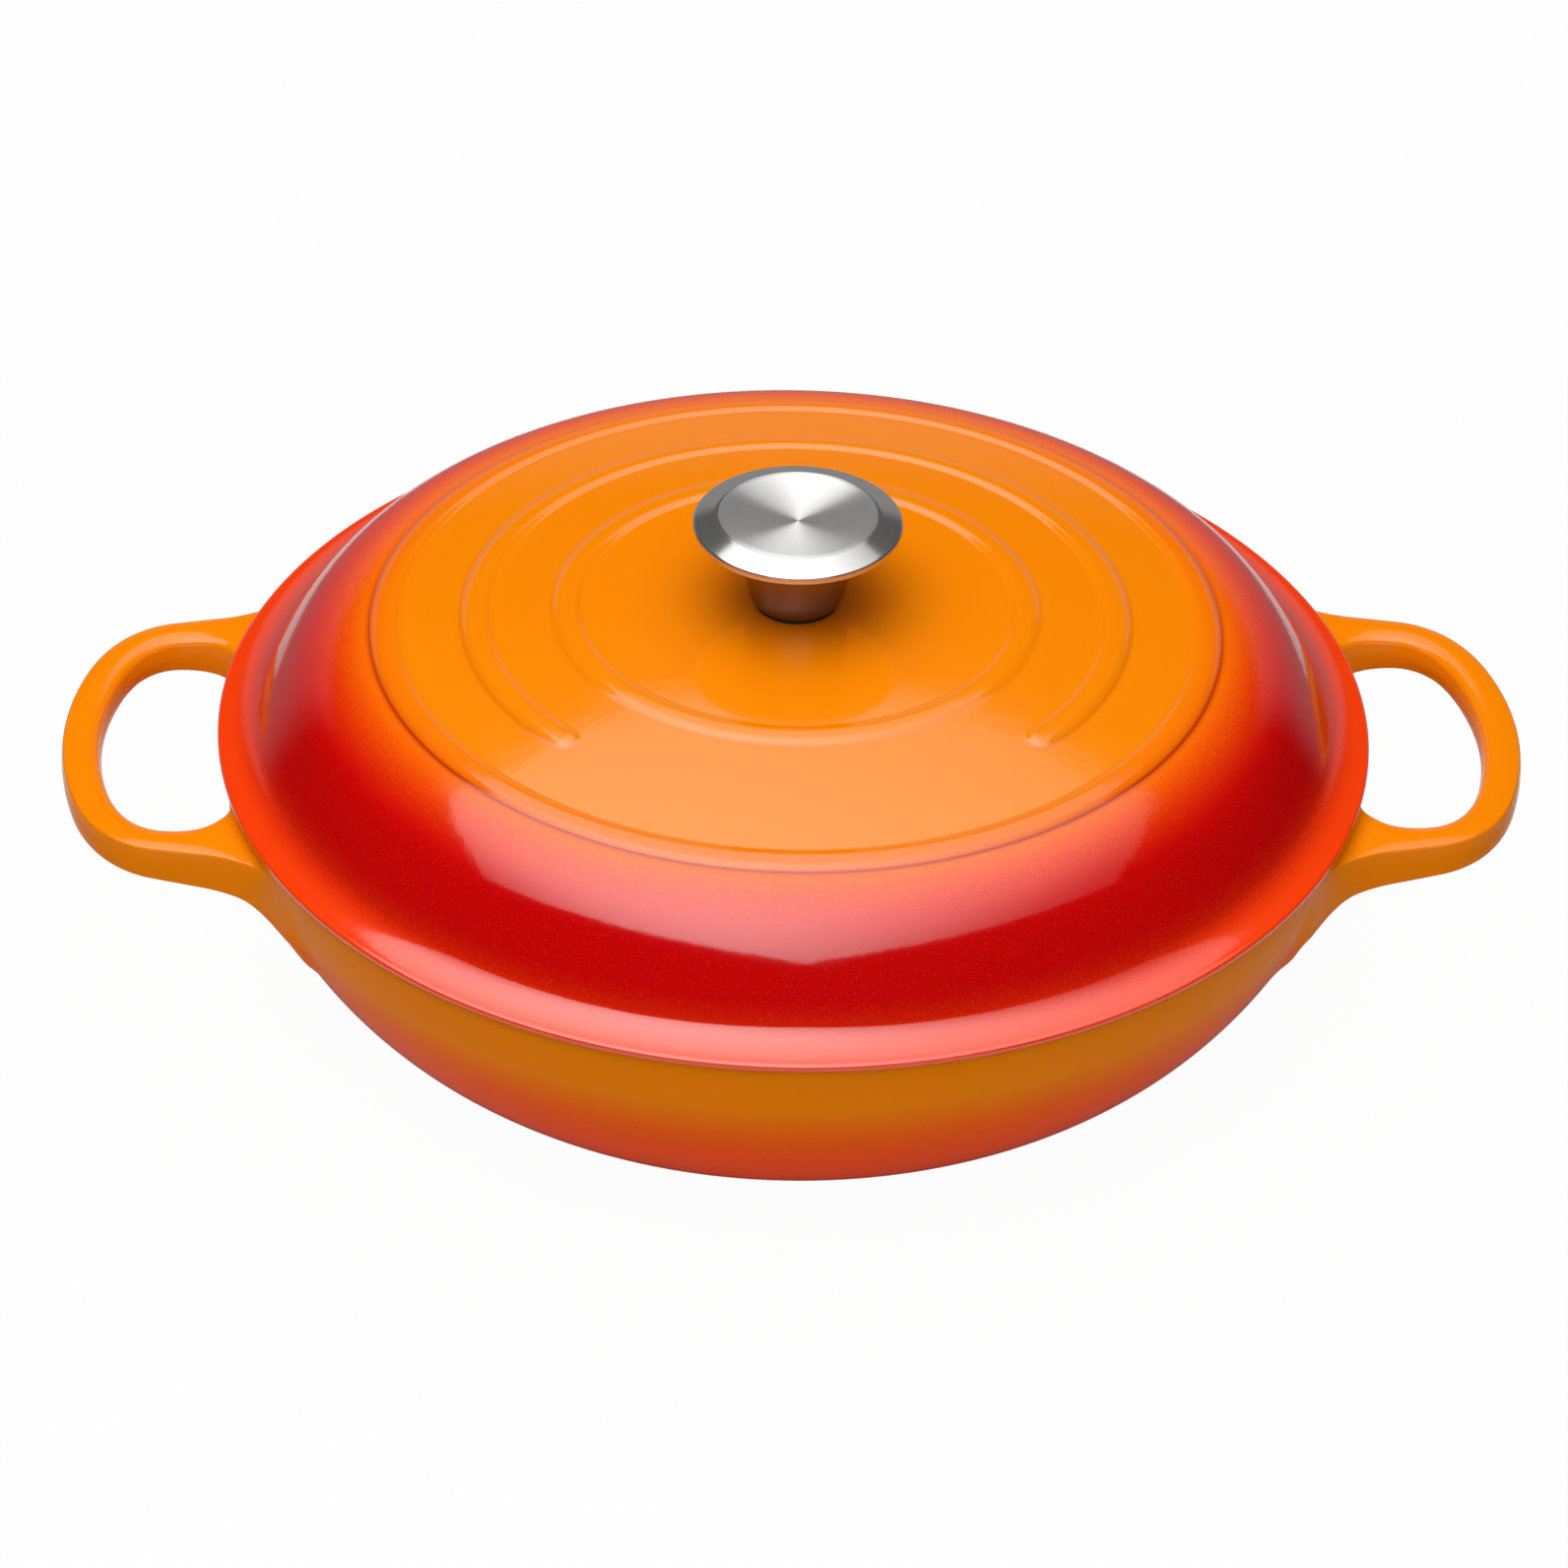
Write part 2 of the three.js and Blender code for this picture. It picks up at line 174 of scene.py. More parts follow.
def spread(tree, value, low, high, kind="LINEAR"):
    inputs = {0: value, 1: low, 2: high, 3: 0.0, 4: 1.0}
    return addNode(tree, "ShaderNodeMapRange", inputs, interpolation_type=kind).outputs[0]


def noise(tree, place, scale, detail, roughness):
    inputs = {"Vector": place, "Scale": scale, "Detail": detail, "Roughness": roughness}
    return addNode(tree, "ShaderNodeTexNoise", inputs).outputs[0]


def flatRadius(tree, parts):
    # distance from the Z axis
    squares = [math2(tree, "POWER", parts.outputs[i], 2.0) for i in (0, 1)]
    return math2(tree, "SQRT", math2(tree, "ADD", *squares))


def rayKinds(tree):
    # rays from the camera, and rays that a mirror or glass sends on
    path = addNode(tree, "ShaderNodeLightPath")
    mirrored = math2(tree, "ADD", path.outputs["Is Glossy Ray"], path.outputs["Is Transmission Ray"])
    return path.outputs["Is Camera Ray"], mirrored


def newGroup(name, inputs, outputs):
    tree = bpy.data.node_groups.new(name, "ShaderNodeTree")
    for label, kind in inputs:
        tree.interface.new_socket(label, in_out="INPUT", socket_type=kind)
    for label, kind in outputs:
        tree.interface.new_socket(label, in_out="OUTPUT", socket_type=kind)
    return tree, tree.nodes.new("NodeGroupInput"), tree.nodes.new("NodeGroupOutput")


def addGroup(tree, group, inputs):
    return addNode(tree, "ShaderNodeGroup", inputs, node_tree=group)


def axisGroup():
    # distance from the Z axis and height, in millimetres
    tree, entry, leave = newGroup(
        "axisDistance",
        [("Position", "NodeSocketVector")],
        [("Radius", "NodeSocketFloat"), ("Height", "NodeSocketFloat")],
    )
    parts = addNode(tree, "ShaderNodeSeparateXYZ", {0: entry.outputs["Position"]})
    for label, value in (("Radius", flatRadius(tree, parts)), ("Height", parts.outputs[2])):
        tree.links.new(math2(tree, "MULTIPLY", value, 1 / mm), leave.inputs[label])
    return tree


def sprayGroup():
    # turns an even change from one glaze to the next into a sprayed, grainy one
    tree, entry, leave = newGroup(
        "sprayGrain",
        [
            ("Position", "NodeSocketVector"),
            ("Amount", "NodeSocketFloat"),
            ("Grains per Metre", "NodeSocketFloat"),
            ("Strength", "NodeSocketFloat"),
        ],
        [("Mask", "NodeSocketFloat"), ("Grain", "NodeSocketFloat")],
    )
    amount = entry.outputs["Amount"]
    fine = noise(tree, entry.outputs["Position"], entry.outputs["Grains per Metre"], 2.0, 0.6)
    grain = math2(tree, "SUBTRACT", fine, 0.5)
    room = math2(tree, "MULTIPLY", amount, math2(tree, "SUBTRACT", 1.0, amount))
    shift = math2(tree, "MULTIPLY", math2(tree, "MULTIPLY", grain, room), entry.outputs["Strength"])
    tree.links.new(math2(tree, "ADD", amount, shift, clamp=True), leave.inputs["Mask"])
    tree.links.new(grain, leave.inputs["Grain"])
    return tree


def rippleGroup():
    # the slight unevenness of a fired glaze, as a height
    tree, entry, leave = newGroup(
        "glazeRipple",
        [("Position", "NodeSocketVector"), ("Fine", "NodeSocketFloat"), ("Broad", "NodeSocketFloat")],
        [("Height", "NodeSocketFloat")],
    )
    fine = noise(tree, entry.outputs["Position"], 620.0, 2.0, 0.45)
    broad = noise(tree, entry.outputs["Position"], 95.0, 1.0, 0.4)
    parts = [
        math2(tree, "MULTIPLY", wave, entry.outputs[label]) for wave, label in ((fine, "Fine"), (broad, "Broad"))
    ]
    tree.links.new(math2(tree, "ADD", *parts), leave.inputs["Height"])
    return tree


def turnedGroup():
    # fine circular tool marks about the Z axis
    tree, entry, leave = newGroup(
        "turnedMarks",
        [("Position", "NodeSocketVector"), ("Marks per Metre", "NodeSocketFloat")],
        [("Mark", "NodeSocketFloat")],
    )
    parts = addNode(tree, "ShaderNodeSeparateXYZ", {0: entry.outputs["Position"]})
    angle = math2(tree, "ARCTAN2", parts.outputs[1], parts.outputs[0])
    along = math2(tree, "MULTIPLY", angle, 0.0006)  # the marks are drawn out long round the axis
    track = addNode(tree, "ShaderNodeCombineXYZ", {0: flatRadius(tree, parts), 1: along, 2: parts.outputs[2]})
    marks = noise(tree, track.outputs[0], entry.outputs["Marks per Metre"], 3.0, 0.65)
    tree.links.new(marks, leave.inputs["Mark"])
    return tree


axisDistance = axisGroup()
sprayGrain = sprayGroup()
glazeRipple = rippleGroup()
turnedMarks = turnedGroup()


# Glazes and metals

glaze = {
    "orange": (0.95, 0.245, 0.001, 1),
    "scarlet": (0.95, 0.004, 0.002, 1),
    "red": (0.6, 0.0008, 0.002, 1),
    "vermilion": (0.93, 0.05, 0.003, 1),
    "ember": (0.93, 0.045, 0.003, 1),
    # foot is the dark red of the painted shade line at the rings' feet
    "foot": (0.42, 0.016, 0.002, 1),
    "roughness": 0.09, "coatRoughness": 0.07, "rippleFine": 1.0, "rippleBroad": 3.0, "rippleDepth": 1.4e-5,
}


def newMaterial(name, colour):
    material = bpy.data.materials.new(name)
    material.use_nodes = True
    material.diffuse_color = colour
    tree = material.node_tree
    shader = tree.nodes["Principled BSDF"]
    shader.inputs["Base Color"].default_value = colour
    return material, tree, shader, addNode(tree, "ShaderNodeTexCoord").outputs["Object"]


def sprayed(tree, place, amount, grains, strength):
    inputs = {"Position": place, "Amount": amount, "Grains per Metre": grains, "Strength": strength}
    return addGroup(tree, sprayGrain, inputs)


def finishGlaze(tree, shader, place, ior, colour):
    shader.inputs["IOR"].default_value = ior
    shader.inputs["Roughness"].default_value = glaze["roughness"]
    ripple = addGroup(
        tree, glazeRipple, {"Position": place, "Fine": glaze["rippleFine"], "Broad": glaze["rippleBroad"]}
    )
    height = {"Height": ripple.outputs["Height"], "Strength": 1.0, "Distance": glaze["rippleDepth"]}
    bump = addNode(tree, "ShaderNodeBump", height)
    tree.links.new(bump.outputs["Normal"], shader.inputs["Normal"])
    tree.links.new(colour, shader.inputs["Base Color"])


potSpray = {
    "ior": 1.09, "heights": (10.0, 52.0), "power": 3.2, "most": 0.88, "grains": 1500.0, "strength": 2.0,
    "glossRadius": (152.5, 158.0), "glossFacing": (0.05, 0.45),
}


def potGlaze():
    # orange above, sprayed to red towards the base, with a gloss on top of the handles
    p = potSpray
    material, tree, shader, place = newMaterial("flameEnamel", glaze["orange"])
    axis = addGroup(tree, axisDistance, {"Position": place})
    bare = math2(tree, "POWER", spread(tree, axis.outputs["Height"], *p["heights"]), p["power"])
    amount = math2(tree, "MULTIPLY", math2(tree, "SUBTRACT", 1.0, bare), p["most"])
    spray = sprayed(tree, place, amount, p["grains"], p["strength"])
    colour = mixColour(tree, spray.outputs["Mask"], glaze["orange"], glaze["ember"])
    finishGlaze(tree, shader, place, p["ior"], colour)
    shader.inputs["Coat Roughness"].default_value = glaze["coatRoughness"]
    facing = addNode(tree, "ShaderNodeSeparateXYZ", {0: addNode(tree, "ShaderNodeTexCoord").outputs["Normal"]})
    level = spread(tree, facing.outputs[2], *p["glossFacing"])
    coat = math2(tree, "MULTIPLY", spread(tree, axis.outputs["Radius"], *p["glossRadius"]), level)
    tree.links.new(coat, shader.inputs["Coat Weight"])
    return material


lidSpray = {
    "ior": 1.67, "grains": 2100.0,
    "coats": [  # each glaze, the radii over which it sets in, how it does, and its grain
        ("scarlet", (104.0, 131.0), "LINEAR", 2.6),
        ("red", (116.0, 134.0), "LINEAR", 3.4),
        ("vermilion", (140.0, 151.5), "SMOOTHSTEP", 4.0),
    ],
    "speckGrain": (0.07, 0.24), "speckRadius": (112.0, 132.0), "speckShare": 0.5,
    "glossRadius": (143.5, 146.5), "gloss": 0.6,
}


def lidGlaze():
    # orange crown, red shoulder with lighter specks, vermilion flange
    p = lidSpray
    material, tree, shader, place = newMaterial("lidEnamel", glaze["vermilion"])
    radius = addGroup(tree, axisDistance, {"Position": place}).outputs["Radius"]
    colour = glaze["orange"]
    for key, radii, kind, strength in p["coats"]:
        spray = sprayed(tree, place, spread(tree, radius, *radii, kind), p["grains"], strength)
        colour = mixColour(tree, spray.outputs["Mask"], colour, glaze[key])
    grain = spread(tree, spray.outputs["Grain"], *p["speckGrain"])
    speck = math2(tree, "MULTIPLY", grain, spread(tree, radius, *p["speckRadius"]))
    colour = mixColour(tree, math2(tree, "MULTIPLY", speck, p["speckShare"]), colour, glaze["vermilion"])
    # painted shade along the outer foot of each ring
    foot = addNode(tree, "ShaderNodeAttribute", attribute_name="footShade").outputs["Fac"]
    colour = mixColour(tree, foot, colour, glaze["foot"])
    finishGlaze(tree, shader, place, p["ior"], colour)
    shader.inputs["Coat Roughness"].default_value = glaze["coatRoughness"]
    coat = math2(tree, "MULTIPLY", spread(tree, radius, *p["glossRadius"]), p["gloss"])
    tree.links.new(coat, shader.inputs["Coat Weight"])
    return material


sand = {
    "colour": (0.76, 0.68, 0.55, 1), "dark": (0.72, 0.63, 0.5, 1), "pale": (0.8, 0.73, 0.6, 1),
    "ior": 1.46, "grains": 700.0, "strength": 1.0,
}


def sandGlaze():
    # the pale glaze inside
    material, tree, shader, place = newMaterial("sandEnamel", sand["colour"])
    spray = sprayed(tree, place, 0.5, sand["grains"], sand["strength"])
    colour = mixColour(tree, spray.outputs["Mask"], sand["dark"], sand["pale"])
    finishGlaze(tree, shader, place, sand["ior"], colour)
    return material


metal = {"marks": 4200.0, "darkest": 0.86, "roughSpan": 0.12, "markStrength": 0.35, "markDepth": 6e-6}


def steel(name, colour, roughness, turned=0.0, metallic=1.0):
    material, tree, shader, place = newMaterial(name, colour)
    marks = addGroup(tree, turnedMarks, {"Position": place, "Marks per Metre": metal["marks"]})
    mark = marks.outputs["Mark"]
    shader.inputs["Metallic"].default_value = metallic
    dark = tuple(metal["darkest"] * c for c in colour[:3]) + (1,)
    tree.links.new(mixColour(tree, mark, dark, colour), shader.inputs["Base Color"])
    span = metal["roughSpan"]
    rough = math2(tree, "ADD", math2(tree, "MULTIPLY", mark, span), roughness - span / 2)
    tree.links.new(rough, shader.inputs["Roughness"])
    height = {"Height": mark, "Strength": metal["markStrength"], "Distance": metal["markDepth"]}
    tree.links.new(addNode(tree, "ShaderNodeBump", height).outputs["Normal"], shader.inputs["Normal"])
    if turned:
        shader.inputs["Anisotropic"].default_value = turned
        shader.inputs["Anisotropic Rotation"].default_value = 0.25  # drawn out across the circular brush marks
        tangent = addNode(tree, "ShaderNodeTangent", direction_type="RADIAL", axis="Z")
        tree.links.new(tangent.outputs[0], shader.inputs["Tangent"])
    return material


# the seal under the stem is nearly black: painted shade for the contact shadow at the stem's foot
seal = {
    "colour": (0.012, 0.011, 0.01, 1), "dark": (0.008, 0.008, 0.007, 1), "pale": (0.018, 0.016, 0.014, 1),
    "roughness": 0.6, "grains": 2500.0, "strength": 1.5,
}


def shadeSealFinish():
    material, tree, shader, place = newMaterial("shadeSeal", seal["colour"])
    spray = sprayed(tree, place, 0.5, seal["grains"], seal["strength"])
    colour = mixColour(tree, spray.outputs["Mask"], seal["dark"], seal["pale"])
    tree.links.new(colour, shader.inputs["Base Color"])
    shader.inputs["Roughness"].default_value = seal["roughness"]
    return material


flameEnamel = potGlaze()
lidEnamel = lidGlaze()
sandEnamel = sandGlaze()
brushedSteel = steel("brushedSteel", (0.8, 0.79, 0.77, 1), 0.32, turned=1.0, metallic=0.76)
polishedSteel = steel("polishedSteel", (0.66, 0.64, 0.62, 1), 0.13, metallic=0.86)
# the stem's dark brown colour is painted shade, for the shade under the cap
shadedStemSteel = steel("shadedStemSteel", (0.26, 0.2, 0.17, 1), 0.3)
screwSteel = steel("screwSteel", (0.5, 0.49, 0.47, 1), 0.3)
shadeSeal = shadeSealFinish()
print("materials made")


# Pot with two loop handles

pot = {
    "height": 67.7, "rim": 153.5, "edge": 1.2, "lean": math.radians(3.4), "rimPull": 29.3,
    "base": 104, "basePull": 23.9, "wall": 3.5, "floor": 4, "mouthCurve": 0.9, "cutAbove": 5, "sandAbove": 1.0,
}
handle = {
    "reach": 197.3, "half": 5.3, "top": 64, "bottom": 54, "tip": 100, "tipAngle": math.radians(16.5),
    "tipPull": 13, "sidePull": 9, "side": (169, 48.7), "root": (127, 56.7), "inner": 25, "outer": 14, "under": 9,
    "taper": 4, "taperLength": 36, "sink": 0.5, "corners": (2.8, 1.1, 1.7, 2.4), "crown": 0.3,
    "fanFrom": 4, "fanLength": 20, "wallLevel": 3, "stationGap": 0.9, "sector": 30,
}
roots = {  # where the handles meet the wall
    "beyond": 110, "heights": (34, 66.4), "wallReach": (-1.2, 7), "gripReach": 7, "rounds": 5,
    "soft": (2.5, 7), "softBelow": 62, "softOver": 8,
}


def bowlCurve(thickness, floor):
    # the wall from the foot up to the rim, as a start and one cubic run
    foot, rim, top = pot["base"] - thickness, pot["rim"] - thickness, pot["height"] - pot["edge"]
    lean, pull = pot["lean"], pot["rimPull"]
    return (foot, floor), [
        (foot + pot["basePull"], floor),
        (rim - pull * math.sin(lean), top - pull * math.cos(lean)),
        (rim, top),
    ]


def bowlOutside():
    foot, curve = bowlCurve(0, 0)
    rim, top, edge = pot["rim"], pot["height"], pot["edge"]
    return trace((0, 0), [[foot], curve, [(rim, top), (rim - edge, top)], [(0, top)]])


def bowlHollow():
    foot, curve = bowlCurve(pot["wall"], pot["floor"])
    rim, top = curve[-1]
    mouth, ceiling = rim + pot["edge"] / 2, top + pot["cutAbove"]
    lip = [(rim, top + pot["mouthCurve"]), (mouth, pot["height"])]
    return trace((0, pot["floor"]), [[foot], curve, lip, [(mouth, ceiling)], [(0, ceiling)]])


wallLine = trace(bowlCurve(0, 0)[0], [bowlCurve(0, 0)[1]], step=0.3)


def wallRadius(height):
    return np.interp(height, wallLine[:, 1], wallLine[:, 0])


def growth(distance, radius):
    # how far a fillet of this radius has spread at a distance from the wall
    inside = np.clip(radius - distance, 0, radius)
    return radius - np.sqrt(radius * radius - inside * inside)


def handleSpine():
    # the middle line of a loop in plan: straight from the root, a bend, a wide arc at the tip, and back
    h = handle
    radius, centre = h["tip"] - h["half"], h["reach"] - h["tip"]
    corner = np.array([centre + radius * math.cos(h["tipAngle"]), -radius * math.sin(h["tipAngle"])])
    side, root = np.array(h["side"]) * (1, -1), np.array(h["root"]) * (1, -1)
    pull = side + (side - root) / np.linalg.norm(side - root) * h["sidePull"]
    bend = corner + h["tipPull"] * np.array([-math.sin(h["tipAngle"]), -math.cos(h["tipAngle"])])
    half = np.concatenate([np.linspace(root, side, 300), trace(side, [[pull, bend, corner]], step=0.2)[1:]])
    swing = np.linspace(-h["tipAngle"], h["tipAngle"], 400)[1:-1]
    tip = np.stack([centre + radius * np.cos(swing), radius * np.sin(swing)], -1)
    dense = np.concatenate([half, tip, half[::-1] * (1, -1)])
    along = np.concatenate([[0], np.cumsum(np.linalg.norm(np.diff(dense, axis=0), axis=1))])
    stations = np.linspace(0, along[-1], int(along[-1] / h["stationGap"]))
    points = np.stack([np.interp(stations, along, dense[:, i]) for i in (0, 1)], -1)
    tangents = np.gradient(points, axis=0)
    return points, tangents / np.linalg.norm(tangents, axis=1)[:, None]


def handleSection(inner, outer, top, under):
    # a rounded rectangle with slightly crowned sides, as distances across and up at every station
    h = handle
    sides = [(inner, 1, top, 1), (outer, -1, top, 1), (outer, -1, under, -1), (inner, 1, under, -1)]
    across, lift = [], []
    sweep = np.radians(np.linspace(0, 90, 8))
    for i, (reachA, signA, reachB, signB) in enumerate(sides):
        corner = h["corners"][i]
        for bend in sweep if i % 2 == 0 else sweep[::-1]:
            across.append(signA * (reachA - corner + corner * math.cos(bend)))
            lift.append(signB * (reachB - corner + corner * math.sin(bend)))
        nextA, nextSignA, nextB, nextSignB = sides[(i + 1) % 4]
        corner = h["corners"][(i + 1) % 4]
        level = i % 2 == 0
        endA = nextSignA * (nextA - corner) if level else nextSignA * nextA
        endB = nextSignB * nextB if level else nextSignB * (nextB - corner)
        startA, startB = across[-1], lift[-1]
        for share in np.linspace(0, 1, 10)[1:-1]:
            bulge = 4 * h["crown"] * share * (1 - share)
            across.append(startA + (endA - startA) * share + (0 if level else signA * bulge))
            lift.append(startB + (endB - startB) * share + (signB * bulge if level else 0))
    return np.stack(across, -1), np.stack(lift, -1)


def handleRing():
    # cross-sections of a handle; near the wall they run round with it and flare out to meet it
    h = handle
    points, tangents = handleSpine()
    normals = np.stack([-tangents[:, 1], tangents[:, 0]], -1)
    radius = np.linalg.norm(points, axis=1)
    fan = smooth((radius - pot["rim"] - h["fanFrom"]) / h["fanLength"])
    turn = -np.sign(points[:, 1])
    around = np.stack([-points[:, 1], points[:, 0]], -1) * (turn / radius)[:, None]
    half = h["half"] / ((1 - fan) * (around * normals).sum(1) + fan) - h["crown"]
    middle = (h["top"] + h["bottom"]) / 2
    gap = radius - wallRadius(middle - h["wallLevel"]) + h["sink"]
    inner, outer = half + growth(gap, h["inner"]), half + growth(gap, h["outer"])
    rise = (h["top"] - h["bottom"]) / 2 - h["crown"]
    taper = h["taper"] * np.clip(1 - gap / h["taperLength"], 0, 1)
    top, under = rise + 0 * gap, rise + taper
    for _ in range(40):  # the fillet below keeps its distance from the leaning wall
        gap = radius - wallRadius(middle - under) + h["sink"]
        under = 0.5 * under + 0.5 * (rise + taper + growth(gap, h["under"]))
    across, lift = handleSection(inner, outer, top, under)
    swing = np.arctan2(points[:, 1], points[:, 0])[:, None] + turn[:, None] * across / radius[:, None]
    arc = radius[:, None, None] * np.stack([np.cos(swing), np.sin(swing)], -1)
    straight = points[:, None] + normals[:, None] * across[..., None]
    plan = arc + (straight - arc) * fan[:, None, None]
    return np.concatenate([plan, (middle + lift)[..., None]], -1)


def handleMesh(side):
    ring = handleRing()
    ring[..., :2] *= side
    rows, columns = ring.shape[:2]
    ends = [tuple(range(columns)), tuple(range((rows - 1) * columns, rows * columns))]
    return newMesh("handle", ring, gridFaces(rows, columns) + ends)


def wallGap(p):
    # distance outside the bowl's wall, and the way out
    probe = 0.25
    slope = (wallRadius(p[:, 2] + probe) - wallRadius(p[:, 2] - probe)) / (2 * probe)
    out = np.hypot(p[:, 0], p[:, 1])
    tilt = np.sqrt(1 + slope * slope)
    way = np.stack([p[:, 0] / out, p[:, 1] / out, -slope], -1) / tilt[:, None]
    return (out - wallRadius(p[:, 2])) / tilt, way


def gripGap(p, trees):
    # distance outside the nearer handle, and the way out
    gap, way = np.zeros(len(p)), np.zeros((len(p), 3))
    for i, spot in enumerate(p * mm):
        found, face, _, _ = trees[spot[0] < 0].find_nearest(spot)
        step = spot - np.array(found)
        sign = 1.0 if step @ np.array(face) >= 0 else -1.0
        size = np.linalg.norm(step)
        gap[i] = sign * size / mm
        way[i] = sign * step / size if size > 1e-6 else face
    return gap, way


def blendGap(p, trees):
    # distance outside wall and handle taken together, with a soft corner that is wider low down
    wall, wallWay = wallGap(p)
    grip, gripWay = gripGap(p, trees)
    high, low = roots["soft"]
    reach = high + (low - high) * smooth((roots["softBelow"] - p[:, 2]) / roots["softOver"])
    share = np.clip(0.5 + 0.5 * (grip - wall) / reach, 0, 1)
    gap = grip * (1 - share) + wall * share - reach * share * (1 - share)
    return gap, gripWay * (1 - share)[:, None] + wallWay * share[:, None]


def softenRoots(mesh, trees):
    # rounds the line where the handles meet the wall
    place = readRows(mesh.vertices, "co") / mm
    normal = readRows(mesh.vertices, "normal")
    low, high = roots["heights"]
    near = np.flatnonzero((np.abs(place[:, 0]) > roots["beyond"]) & (place[:, 2] > low) & (place[:, 2] < high))
    wall = wallGap(place[near])[0]
    near = near[(wall > roots["wallReach"][0]) & (wall < roots["wallReach"][1])]
    near = near[np.abs(gripGap(place[near], trees)[0]) < roots["gripReach"]]
    spots = place[near]
    for _ in range(roots["rounds"]):
        gap, way = blendGap(spots, trees)
        spots = spots - way * (gap / np.maximum((way * way).sum(1), 0.1))[:, None]
    way = blendGap(spots, trees)[1]
    normal[near] = way / np.linalg.norm(way, axis=1)[:, None]
    place[near] = spots
    mesh.vertices.foreach_set("co", (place * mm).ravel())
    mesh.update()
    mesh.normals_split_custom_set_from_vertices(normal.tolist())
    return len(near)


def buildPot():
    half = handle["sector"]  # degrees to each side of a handle, with finer steps
    fine = np.radians(np.arange(0, 2 * half, 0.4) - half)
    plain = np.radians(np.arange(half, 180 - half, 1.0))
    bowl = spinMesh("bowl", bowlOutside(), np.concatenate([fine, plain, fine + math.pi, plain + math.pi]))
    trees = []
    for side in (1, -1):
        loop = handleMesh(side)
        trees.append(BVHTree.FromPolygons([v.co for v in loop.vertices], [f.vertices for f in loop.polygons]))
        bowl = joined(bowl, loop, "UNION")
    shell = joined(bowl, spinMesh("hollow", bowlHollow(), fullTurn), "DIFFERENCE")
    shell.name = "potBody"
    shell.shade_smooth()
    moved = softenRoots(shell, trees)
    centres = readRows(shell.polygons, "center") / mm
    foot, curve = bowlCurve(pot["wall"] / 2, pot["floor"] / 2)
    middle = trace(foot, [curve], step=0.5)
    limit = np.interp(centres[:, 2], middle[:, 1], middle[:, 0])
    inside = (np.hypot(centres[:, 0], centres[:, 1]) < limit) & (centres[:, 2] > pot["sandAbove"])
    paintFaces(shell, flameEnamel, sandEnamel, inside)
    print("pot:", len(shell.polygons), "faces,", moved, "points softened at the handle roots")
    return addPiece(shell, "pot", "flame_enamel", "pot_body")


buildPot()


# Lid with three raised rings

lid = {
    "seat": 68, "radius": 155, "edge": 1, "flangeEdge": (153.4, 1.9), "flangeMiddle": (150.2, 2.15),
    "fillet": (145.8, 3.5), "shoulder": (143.9, 6.2), "startAngle": math.radians(56), "startPull": 14.2,
    "end": 115.3, "endAngle": math.radians(11), "endPull": 15.56, "dome": (38.6, 5.8e-4), "crown": (37.4, 1e-4),
    "blend": 0.5, "thickness": 3.3, "hollow": (11.4, 6.6), "hole": 3.4, "holeLevel": 4, "lip": (145, 148.4),
    "lipDepth": 3.5, "lipBevel": 0.85, "domeAbove": 25, "lineAbove": 28,
}
# each ring's line is the strength of the painted shade at its outer foot
rings = [
    {"radius": 113.9, "height": 0.95, "gap": 0, "line": 1},
    {"radius": 89.6, "height": 0.9, "gap": math.radians(46), "line": 0.3},
    {"radius": 65.4, "height": 0.8, "gap": 0, "line": 0.14},
]
ringForm = {
    "width": 8.4, "flat": 1.7, "flank": 2.7, "crown": 0.06, "crownHalf": 2.2, "lineAway": 4.1, "lineHalf": 0.6,
    "lineLevel": 0.7,
}


def domeTop(radius):
    dome = lid["dome"][0] - lid["dome"][1] * radius * radius
    crown = lid["crown"][0] - lid["crown"][1] * radius * radius
    return lid["seat"] + (dome + crown - np.hypot(dome - crown, lid["blend"])) / 2


def ringMiddle(ring):
    return ring["radius"] - ringForm["width"] / 2


def ringAway(ring, radius, angle):
    # distance from the middle line of a ring; the middle ring is open at the front with rounded ends
    middle = ringMiddle(ring)
    away = np.abs(radius - middle)
    if ring["gap"]:
        fromFront = np.abs((angle + math.pi / 2 + math.pi) % (2 * math.pi) - math.pi)
        short = np.maximum(ring["gap"] - fromFront, 0)
        along = radius * np.cos(short) - middle
        away = np.where(short > 0, np.hypot(radius * np.sin(short), along), away)
    return away


def ringRise(radius, angle, height):
    f = ringForm
    rise = np.zeros_like(radius)
    for ring in rings:
        away = ringAway(ring, radius, angle)
        crest = 1 - f["crown"] * np.clip(away / f["crownHalf"], 0, 1) ** 2
        rise += ring["height"] * crest * (1 - smooth((away - f["flat"]) / f["flank"]))
    onTop = (height > lid["seat"] + lid["domeAbove"]) & (np.abs(height - domeTop(radius)) < 0.01)
    return np.where(onTop, rise, 0)


def footShade(radius, angle):
    # painted shade: a thin darker line in the crease round the outer foot of each ring
    f = ringForm
    line = np.zeros_like(radius)
    for ring in rings:
        away = (ringAway(ring, radius, angle) - f["lineAway"]) / f["lineHalf"]
        outward = np.clip((radius - ringMiddle(ring)) / 2 + 0.5, 0, 1)
        line = np.maximum(line, ring["line"] * outward * np.exp(-(away**2)))
    return line * np.clip(f["lineLevel"] * (1 - np.sin(angle)), 0, 1)  # painted shade, strongest at the front and none at the back


def lidCorners():
    # the foot of the shoulder, and its end on the dome
    return np.array(lid["shoulder"]) + (0, lid["seat"]), np.array([lid["end"], domeTop(lid["end"])])


